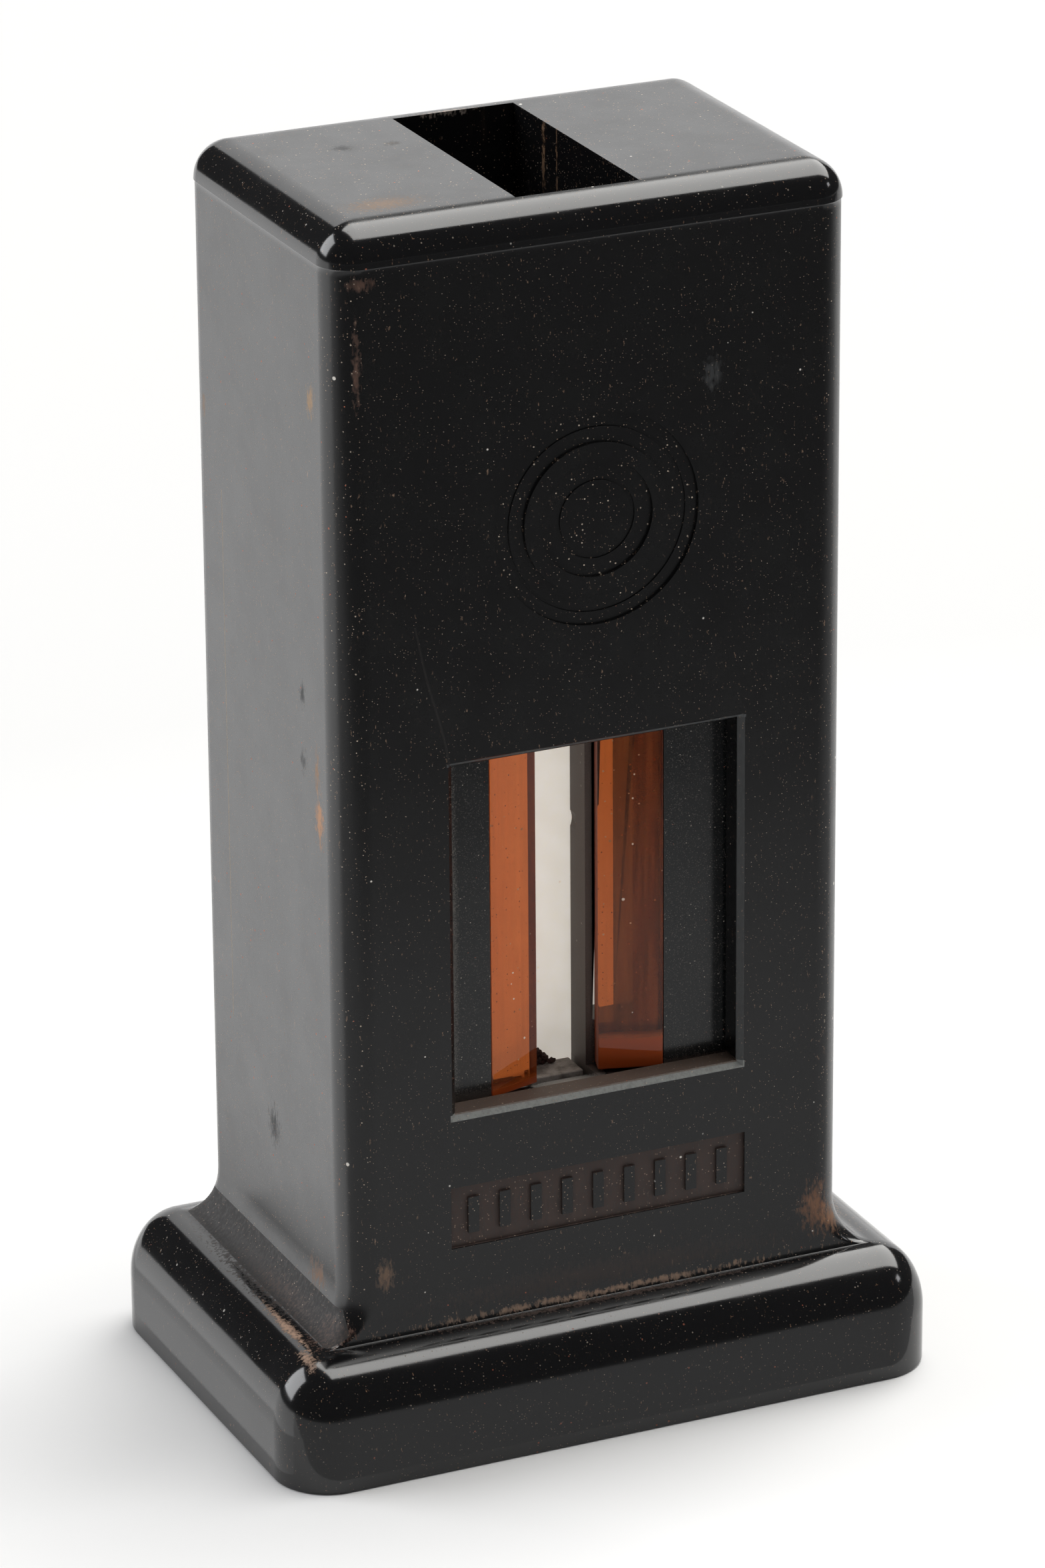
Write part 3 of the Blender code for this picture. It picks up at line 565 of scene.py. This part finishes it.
level = add(tree, "Mix", {0: cover, 2: level, 3: 0.8}).outputs[0]
tree.links.new(level, shader.inputs["Roughness"])
bump = add(tree, "Bump", {"Height": grit, "Strength": 0.12, "Distance": 0.000004})
bump = add(tree, "Bump", {"Height": clouds, "Strength": 0.4, "Distance": 0.00004, "Normal": bump.outputs[0]})
tree.links.new(bump.outputs[0], shader.inputs["Normal"])
carrier.data.materials.append(carrier_phenolic)
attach(carrier, "stand")
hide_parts("standards_carrier")


# ---- Glass standards ---------------------------------------------------------------
# Two plates of amber glass, polished on both faces and ground on their edges, set
# slanting so that they face the eye. They stand for the colour of the blood sample.
amber, tree, shader = new_finish("amber_glass")
shader.inputs["IOR"].default_value = 1.52
# marks the piece as clear glass for the export; the film's link below sets what is seen
shader.inputs["Transmission Weight"].default_value = 1.0
place = in_mm(tree)
streaks = add(tree, "TexNoise", {"Vector": add(tree, "VectorMath", {0: place, 1: (2.0, 2.0, 0.12)},
                                               operation="MULTIPLY").outputs[0],
                                 "Scale": 1.0, "Detail": 5.0}).outputs[0]
clouds = add(tree, "TexNoise", {"Vector": place, "Scale": 0.30, "Detail": 5.0}).outputs[0]
body = add(tree, "Mix", {0: clouds, 6: from_hex("#C8682F"), 7: from_hex("#CE7238")},
           data_type="RGBA").outputs[2]
film = add(tree, "MapRange", {0: streaks, 1: 0.42, 2: 0.75, 3: 0.02, 4: 0.12}).outputs[0]
for scale, radius, share, code, seed in (
        (1.3, 0.15, 0.60, "#B08060", 4.0), (2.6, 0.20, 0.70, "#6A2A1A", 15.0), (0.8, 0.12, 0.60, "#D8C8B8", 8.0)):
    spot = speck(tree, place, scale, radius, share, seed)
    body = add(tree, "Mix", {0: spot, 6: body, 7: from_hex(code)}, data_type="RGBA").outputs[2]
    smeared = add(tree, "Math", {0: spot, 1: 0.6}, operation="MULTIPLY").outputs[0]
    film = add(tree, "Math", {0: film, 1: smeared}, operation="MAXIMUM").outputs[0]
# A painted red band, standing in for the refraction at the glasses' lower edges, reddens the foot of each glass,
# higher on the right.
xyz = add(tree, "SeparateXYZ", {0: place})
red_band_top = add(tree, "MapRange", {0: xyz.outputs[0], 1: -1.0, 2: 1.0, 3: 33.9, 4: 36.4}).outputs[0]
deep = add(tree, "Math", {0: add(tree, "Math", {0: red_band_top, 1: xyz.outputs[2]},
                                 operation="SUBTRACT").outputs[0],
                          1: add(tree, "Math", {0: clouds, 1: 0.5},
                                 operation="SUBTRACT").outputs[0]}).outputs[0]
deep = add(tree, "MapRange", {0: deep, 1: -0.4, 2: 0.5, 3: 0.0, 4: 1.0}).outputs[0]
body = add(tree, "Mix", {0: deep, 6: body, 7: from_hex("#A84A20")}, data_type="RGBA").outputs[2]
film = add(tree, "Math", {0: film, 1: add(tree, "Math", {0: deep, 1: 0.62},
                                          operation="MULTIPLY").outputs[0]}, operation="MAXIMUM").outputs[0]
tree.links.new(body, shader.inputs["Base Color"])
shader.inputs["Roughness"].default_value = 0.03
clear = add(tree, "Math", {0: 1.0, 1: film}, operation="SUBTRACT").outputs[0]
tree.links.new(clear, shader.inputs["Transmission Weight"])
bump = add(tree, "Bump", {"Height": clouds, "Strength": 0.3, "Distance": 0.00003})
tree.links.new(bump.outputs[0], shader.inputs["Normal"])
# The edges are ground, not polished, and coloured a darker amber than the faces.
ground_edge, tree, shader = new_finish("ground_amber_edge")
shader.inputs["IOR"].default_value = 1.52
shader.inputs["Transmission Weight"].default_value = 0.35
shader.inputs["Roughness"].default_value = 0.6
place = in_mm(tree)
edge_mottle = add(tree, "TexNoise", {"Vector": place, "Scale": 1.6, "Detail": 6.0}).outputs[0]
tree.links.new(add(tree, "Mix", {0: edge_mottle, 6: from_hex("#8A3A1C"), 7: from_hex("#B8562C")},
                   data_type="RGBA").outputs[2],
               shader.inputs["Base Color"])
tree.links.new(add(tree, "Bump", {"Height": edge_mottle, "Strength": 0.6, "Distance": 0.00005}).outputs[0],
               shader.inputs["Normal"])
for side, (outer, inner) in glasses.items():
    glass = outline_block("glass_" + side, slab(outer, inner, GLASS_THICK), GLASS_LOW, GLASS_HIGH)
    ease(glass, 0.16, 2)
    smooth(glass, 25)
    glass.data.materials.append(amber)
    glass.data.materials.append(ground_edge)
    run = (inner[0] - outer[0], inner[1] - outer[1])
    for face in glass.data.polygons:
        across = (face.normal.x * run[0] + face.normal.y * run[1]) / math.hypot(*run)
        if abs(across) > 0.5 or abs(face.normal.z) > 0.5:
            face.material_index = 1
    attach(glass, "stand")
    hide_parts("glass_standard_" + side)


# ---- Opal plate ----------------------------------------------------------------------
# Fine-ground opal glass, an even white ground for the tube and both standards. It passes light but no view; the
# daylight from behind is painted in as a glow.
opal = box("opal_plate", (-11.6, -6.6, 29.0), (7.8, -4.4, 71.4))
ease(opal, 0.12, 2)
smooth(opal)
opal_glass_painted_glow, tree, shader = new_finish("ground_opal_glass")
shader.inputs["IOR"].default_value = 1.45
shader.inputs["Roughness"].default_value = 0.45
place = in_mm(tree)
clouds = add(tree, "TexNoise", {"Vector": place, "Scale": 0.45, "Detail": 5.0}).outputs[0]
white = add(tree, "Mix", {0: clouds, 6: from_hex("#E4DFD6"), 7: from_hex("#D3CBBF")},
            data_type="RGBA").outputs[2]
cells = add(tree, "TexVoronoi", {"Vector": place, "Scale": 0.9})
kept = add(tree, "SeparateColor", {0: cells.outputs["Color"]})
dot = add(tree, "MapRange", {0: cells.outputs["Distance"], 1: 0.05, 2: 0.16, 3: 0.35, 4: 0.0}).outputs[0]
dot = add(tree, "Math", {0: dot, 1: add(tree, "Math", {0: kept.outputs[0], 1: 0.7},
                                        operation="GREATER_THAN").outputs[0]}, operation="MULTIPLY").outputs[0]
white = add(tree, "Mix", {0: dot, 6: white, 7: from_hex("#9A8A74")}, data_type="RGBA").outputs[2]
tree.links.new(white, shader.inputs["Base Color"])
# painted light: the plate glows in its own colour, standing in for the daylight from behind
tree.links.new(white, shader.inputs["Emission Color"])
shader.inputs["Emission Strength"].default_value = 0.58
tree.links.new(add(tree, "Bump", {"Height": clouds, "Strength": 0.2, "Distance": 0.00002}).outputs[0],
               shader.inputs["Normal"])
opal.data.materials.append(opal_glass_painted_glow)
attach(opal, "stand")
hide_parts("opal_diffuser")


# ---- Tube rest and the dirt on it ------------------------------------------------------
# A pressed-fibre pad, loose in its pocket, that the end of the measuring tube stands
# on. Flakes of old dirt lie at its back left corner.
pad = box("rest_pad", (-3.84, -10.30, 30.90), (1.59, -6.95, 32.35))
ease(pad, 0.14, 3)
smooth(pad)
fibre, tree, shader = new_finish("pressed_fibre")
place = in_mm(tree)
felt = add(tree, "TexNoise", {"Vector": place, "Scale": 3.2, "Detail": 8.0, "Roughness": 0.7}).outputs[0]
stain = add(tree, "TexNoise", {"Vector": place, "Scale": 0.7, "Detail": 4.0}).outputs[0]
colour = add(tree, "Mix", {0: felt, 6: from_hex("#6E6661"), 7: from_hex("#B0A79E")},
             data_type="RGBA").outputs[2]
colour = add(tree, "Mix", {0: add(tree, "MapRange", {0: stain, 1: 0.45, 2: 0.65, 3: 0.0, 4: 0.7}).outputs[0],
                           6: colour, 7: from_hex("#3E3330")}, data_type="RGBA").outputs[2]
tree.links.new(colour, shader.inputs["Base Color"])
shader.inputs["Roughness"].default_value = 0.85
tree.links.new(add(tree, "Bump", {"Height": felt, "Strength": 0.8, "Distance": 0.00008}).outputs[0],
               shader.inputs["Normal"])
pad.data.materials.append(fibre)
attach(pad, "stand")
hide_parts("tube_rest")

chance = random.Random(11)
crumbs = []
for i in range(46):
    size = chance.uniform(0.12, 0.36)
    spread = chance.random() ** 1.3
    spot = (-2.60 + 2.0 * spread + chance.uniform(-0.1, 0.15), -7.20 - chance.uniform(0.0, 0.5),
            32.38 + size * 0.6 + (1.0 - spread) * chance.uniform(0.0, 2.1))
    bpy.ops.object.select_all(action="DESELECT")
    bpy.ops.mesh.primitive_ico_sphere_add(subdivisions=2, radius=size * MM, location=[c * MM for c in spot])
    crumb = bpy.context.object
    crumb.scale = [chance.uniform(0.6, 1.3) for _ in range(3)]
    bpy.ops.object.transform_apply(location=True, rotation=True, scale=True)
    middle = [c * MM for c in spot]
    for vert in crumb.data.vertices:
        grow = chance.uniform(0.72, 1.2)
        vert.co = [m + (c - m) * grow for c, m in zip(vert.co, middle)]
    crumbs.append(crumb)
bpy.ops.object.select_all(action="DESELECT")
for crumb in crumbs:
    crumb.select_set(True)
bpy.context.view_layer.objects.active = crumbs[0]
bpy.ops.object.join()
dirt = bpy.context.object
dirt.name = "dirt_flakes"
earth, tree, shader = new_finish("dry_dirt")
place = in_mm(tree)
grain = add(tree, "TexNoise", {"Vector": place, "Scale": 5.0, "Detail": 4.0}).outputs[0]
colour = add(tree, "Mix", {0: grain, 6: from_hex("#1E1413"), 7: from_hex("#5A3F38")},
             data_type="RGBA").outputs[2]
tree.links.new(colour, shader.inputs["Base Color"])
shader.inputs["Roughness"].default_value = 0.9
dirt.data.materials.append(earth)
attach(dirt, "stand")


# ---- Spring, its foot, and the clips of the opal plate ---------------------------------
# Cut and bent from rolled phosphor-bronze strip, browned by age, with the fine
# lines of the rolls along it.
bronze, tree, shader = new_finish("rolled_spring_bronze")
shader.inputs["Metallic"].default_value = 1.0
place = in_mm(tree)
rolled = add(tree, "TexNoise", {"Vector": add(tree, "VectorMath", {0: place, 1: (14.0, 14.0, 0.3)},
                                              operation="MULTIPLY").outputs[0],
                                "Scale": 1.0, "Detail": 3.0}).outputs[0]
tarnish = add(tree, "TexNoise", {"Vector": place, "Scale": 0.6, "Detail": 6.0}).outputs[0]
colour = add(tree, "Mix", {0: add(tree, "MapRange", {0: tarnish, 1: 0.32, 2: 0.75}).outputs[0],
                           6: from_hex("#B98A5A"), 7: from_hex("#7E583A")},
             data_type="RGBA").outputs[2]
tree.links.new(colour, shader.inputs["Base Color"])
tree.links.new(add(tree, "MapRange", {0: tarnish, 1: 0.35, 2: 0.65, 3: 0.26, 4: 0.48}).outputs[0],
               shader.inputs["Roughness"])
tree.links.new(add(tree, "Bump", {"Height": rolled, "Strength": 0.3, "Distance": 0.000006}).outputs[0],
               shader.inputs["Normal"])
for name in ("tube_spring", "tube_spring_foot", "opal_clip_left", "opal_clip_right"):
    nodes[name].data.materials.clear()
    nodes[name].data.materials.append(bronze)


# ---- Rear cover ------------------------------------------------------------------------
# A flat frame in the same black phenolic, let into the back and held by four screws.
# Its window lets the daylight through to the opal plate.
cover = box("cover_frame", (-17.90, 14.50, 22.50), (17.90, 17.05, 77.50))
ease(cover, 0.35, 3)
work(cover, box("cover_window", (-14.20, 13.0, 33.0), (14.20, 19.0, 68.0)))
for x, z in COVER_SCREWS:
    work(cover, round_bar("screw_hole", SCREW_BORE, (x, 13.0, z), (x, 18.0, z), 32))
    work(cover, round_bar("head_seat", 2.2, (x, 15.85, z), (x, 18.0, z), 40))
ease(cover, 0.12, 2, 60)
smooth(cover)
cover.data.materials.append(phenolic)
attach(cover, "stand")
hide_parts("rear_cover")


# ---- Base plate --------------------------------------------------------------------------
# Black pressed fibre board that closes the foot, sunk half a millimetre so that the
# stand rests on its moulded rim.
board, tree, shader = new_finish("black_fibre_board")
place = in_mm(tree)
pulp = add(tree, "TexNoise", {"Vector": place, "Scale": 1.4, "Detail": 9.0, "Roughness": 0.72}).outputs[0]
rubbed = add(tree, "TexNoise", {"Vector": add(tree, "VectorMath", {0: place, 1: (0.12, 2.2, 1.0)},
                                              operation="MULTIPLY").outputs[0],
                                "Scale": 1.0, "Detail": 4.0}).outputs[0]
colour = add(tree, "Mix", {0: pulp, 6: from_hex("#141211"), 7: from_hex("#38302A")},
             data_type="RGBA").outputs[2]
colour = add(tree, "Mix", {0: add(tree, "MapRange", {0: rubbed, 1: 0.62, 2: 0.78, 3: 0.0, 4: 0.6}).outputs[0],
                           6: colour, 7: from_hex("#6E6054")}, data_type="RGBA").outputs[2]
tree.links.new(colour, shader.inputs["Base Color"])
shader.inputs["Roughness"].default_value = 0.75
tree.links.new(add(tree, "Bump", {"Height": pulp, "Strength": 0.5, "Distance": 0.00005}).outputs[0],
               shader.inputs["Normal"])
nodes["base_plate"].data.materials.clear()
nodes["base_plate"].data.materials.append(board)


# ---- Screws --------------------------------------------------------------------------------
# Turned brass cheese-head screws with a sawn slot, dull with age and brighter in patches.
brass, tree, shader = new_finish("aged_brass")
shader.inputs["Metallic"].default_value = 1.0
place = in_mm(tree)
aged = add(tree, "TexNoise", {"Vector": place, "Scale": 1.1, "Detail": 7.0}).outputs[0]
fine = add(tree, "TexNoise", {"Vector": place, "Scale": 7.0, "Detail": 3.0}).outputs[0]
colour = add(tree, "Mix", {0: add(tree, "MapRange", {0: aged, 1: 0.30, 2: 0.78}).outputs[0],
                           6: from_hex("#BF9A5C"), 7: from_hex("#7A5F3A")},
             data_type="RGBA").outputs[2]
tree.links.new(colour, shader.inputs["Base Color"])
tree.links.new(add(tree, "MapRange", {0: aged, 1: 0.35, 2: 0.65, 3: 0.22, 4: 0.50}).outputs[0],
               shader.inputs["Roughness"])
tree.links.new(add(tree, "Bump", {"Height": fine, "Strength": 0.3, "Distance": 0.00001}).outputs[0],
               shader.inputs["Normal"])


def screw(name, node, head_radius, head_height, shank_radius, slot_turn):
    """A cheese-head screw in the place of a CAD one; its head faces +Y, or -Z under the foot."""
    low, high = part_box(node)
    under = node.startswith("base")
    length = (high.z - low.z if under else high.y - low.y) / MM
    middle = (low + high) / 2
    bpy.ops.object.select_all(action="DESELECT")
    bpy.ops.mesh.primitive_cylinder_add(vertices=44, radius=head_radius * MM, depth=head_height * MM,
                                        location=(0, 0, -head_height / 2 * MM))
    piece = bpy.context.object
    piece.name = name
    bpy.ops.object.transform_apply(location=True, rotation=True, scale=True)
    bpy.ops.object.mode_set(mode="EDIT")
    bpy.ops.mesh.select_mode(type="FACE")
    pick(piece, "faces", lambda face: face.normal.z < -0.9)
    bpy.ops.mesh.inset(thickness=(head_radius - shank_radius) * MM)
    straight = length - head_height - 0.3
    bpy.ops.mesh.extrude_region_move(TRANSFORM_OT_translate={"value": (0, 0, -straight * MM)})
    bpy.ops.mesh.extrude_region_move(TRANSFORM_OT_translate={"value": (0, 0, -0.3 * MM)})
    bpy.ops.transform.resize(value=(0.66, 0.66, 1))
    bpy.ops.object.mode_set(mode="OBJECT")
    ease(piece, 0.14, 3, 60)
    slit_depth = 0.32 if under else 0.45
    work(piece, box("slit", (-head_radius - 1, -0.22, -slit_depth), (head_radius + 1, 0.22, 1.0)))
    smooth(piece)
    only(piece)
    piece.rotation_euler = (0, 0, slot_turn)
    bpy.ops.object.transform_apply(location=False, rotation=True, scale=False)
    piece.rotation_euler = (math.pi, 0, 0) if under else (-math.pi / 2, 0, 0)
    piece.location = (middle.x, middle.y, low.z) if under else (middle.x, high.y, middle.z)
    bpy.ops.object.transform_apply(location=True, rotation=True, scale=True)
    piece.data.materials.append(brass)
    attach(piece, "stand")
    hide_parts(node)


turn = 0.4
for count, radius, height, shank, stem in ((4, 1.9, 0.8, 0.9, "rear_cover_screw"),
                                           (2, 1.9, 1.1, 0.9, "carrier_screw"),
                                           (2, 1.6, 0.9, 0.8, "opal_clip_screw"), (4, 1.9, 0.55, 0.9,
                                                                                   "base_screw")):
    for i in range(1, count + 1):
        screw(f"{stem}_brass_{i}", f"{stem}_{i}", radius, height, shank, turn)
        turn += 1.17
screw("tube_spring_brass", "tube_spring_screw", 1.5, 0.8, 0.65, 0.9)


# ---- Studio: floor, lights and camera --------------------------------------------
# A pale paper sweep under one big softbox overhead, a window to the left and a
# small lamp to the right. The dark room in front is what keeps the front face black.
bpy.context.scene.view_settings.view_transform = "Standard"
bpy.ops.object.select_all(action="DESELECT")
bpy.ops.mesh.primitive_plane_add(size=12, location=(0, 0, 0))
floor = bpy.context.object
floor.name = "floor_paper"
paper, tree, shader = new_finish("pale_paper")
far = add(tree, "VectorMath", {0: add(tree, "TexCoord").outputs["Object"], 1: (0.0, -0.45, 0.0)},
          operation="DISTANCE")
# painted light: the paper is lighter near a point 0.45 m in front of the stand and darker beyond 0.62 m
floor_light_pool = add(tree, "MapRange", {0: far.outputs["Value"], 1: 0.35, 2: 0.62, 3: 0.70, 4: 0.50}).outputs[0]
tint = add(tree, "CombineColor", {0: floor_light_pool, 1: floor_light_pool, 2: floor_light_pool}).outputs[0]
tree.links.new(tint, shader.inputs["Base Color"])
shader.inputs["Roughness"].default_value = 1.0
shader.inputs["Specular IOR Level"].default_value = 0.0
floor.data.materials.append(paper)


def lamp(name, direction, distance, width, depth, radiance, colour):
    """A rectangular light that faces the middle of the object, with a given radiance."""
    data = bpy.data.lights.new(name, "AREA")
    data.shape = "RECTANGLE"
    data.size, data.size_y = width, depth
    data.energy = radiance * math.pi * width * depth
    data.color = colour
    made = bpy.data.objects.new(name, data)
    bpy.context.scene.collection.objects.link(made)
    length = math.sqrt(sum(c * c for c in direction))
    made.location = [c / length * distance for c in direction]
    made.location.z += 0.05
    aim = made.location.copy()
    aim.z -= 0.05
    made.rotation_euler = aim.to_track_quat("Z", "Y").to_euler()


lamp("softbox_overhead", (0.42, 0.13, 0.87), 2.4, 2.4, 2.9, 5.5, (1.0, 0.99, 0.965))
lamp("window_left", (-0.74, 0.42, 0.48), 2.4, 1.5, 1.7, 5.5, (0.97, 0.98, 1.0))
lamp("lamp_right", (0.80, -0.42, 0.40), 2.4, 0.35, 0.30, 5.0, (0.97, 0.97, 1.0))


def card(name, corners, radiance):
    """A stand-in for a part of the room that only reflections meet."""
    mesh = bpy.data.meshes.new(name)
    mesh.from_pydata(corners, [], [(0, 1, 2, 3)])
    made = bpy.data.objects.new(name, mesh)
    bpy.context.scene.collection.objects.link(made)
    glow, _, glowing = new_finish(name)
    glowing.inputs["Base Color"].default_value = (0, 0, 0, 1)
    glowing.inputs["Specular IOR Level"].default_value = 0.0
    glowing.inputs["Emission Color"].default_value = (1, 1, 1, 1)
    glowing.inputs["Emission Strength"].default_value = radiance
    mesh.materials.append(glow)
    made.visible_camera = made.visible_diffuse = made.visible_transmission = made.visible_shadow = False
    return made


front_floor = card("front_floor", [(-2.0, -3.0, 0.0008), (2.0, -3.0, 0.0008), (2.0, -0.024, 0.0008),
                                   (-2.0, -0.024, 0.0008)], 1.0)
tree = front_floor.data.materials[0].node_tree
depth = add(tree, "SeparateXYZ", {0: add(tree, "TexCoord").outputs["Object"]}).outputs[1]
falloff = add(tree, "MapRange", {0: depth, 1: -0.185, 2: -0.110, 3: 0.10, 4: 0.50},
              interpolation_type="SMOOTHSTEP").outputs[0]
tree.links.new(add(tree, "CombineColor", {0: falloff, 1: falloff, 2: falloff}).outputs[0],
               tree.nodes["Principled BSDF"].inputs["Emission Color"])
card("grey_left_floor", [(-0.043, -0.02, 0.0008), (-0.0345, -0.02, 0.0008), (-0.0345, 2.5, 0.0008),
                         (-0.043, 2.5, 0.0008)], 0.85)
card("bright_left_floor", [(-2.5, -0.02, 0.0008), (-0.043, -0.02, 0.0008), (-0.043, 2.5, 0.0008),
                           (-2.5, 2.5, 0.0008)], 1.38)
card("bright_back_wall", [(-0.2, 2.6, 0.0), (3.4, 2.6, 0.0), (3.4, 2.6, 2.0), (-0.2, 2.6, 2.0)], 1.30)

world = bpy.data.worlds.new("room")
bpy.context.scene.world = world
world.use_nodes = True
tree = world.node_tree
path = add(tree, "LightPath")
room = add(tree, "Mix", {0: path.outputs["Is Diffuse Ray"], 6: (0.06, 0.06, 0.06, 1),
                         7: (0.28, 0.28, 0.285, 1)}, data_type="RGBA").outputs[2]
room = add(tree, "Mix", {0: path.outputs["Is Camera Ray"], 6: room, 7: (0.94, 0.94, 0.94, 1)},
           data_type="RGBA")
tree.links.new(room.outputs[2], tree.nodes["Background"].inputs["Color"])

camera_data = bpy.data.cameras.new("camera")
camera = bpy.data.objects.new("camera", camera_data)
bpy.context.scene.collection.objects.link(camera)
camera_data.sensor_width = 36.0
camera_data.lens = 170.57
camera_data.clip_start, camera_data.clip_end = 0.05, 20.0
camera.location = (-0.26723, -0.59190, 0.31295)
camera.rotation_euler = (Matrix.Rotation(math.radians(-24.312), 3,
                                         "Z") @ Matrix.Rotation(math.radians(68.552), 3, "X")
                         @ Matrix.Rotation(math.radians(-0.422), 3, "Z")).to_euler()
bpy.context.scene.camera = camera
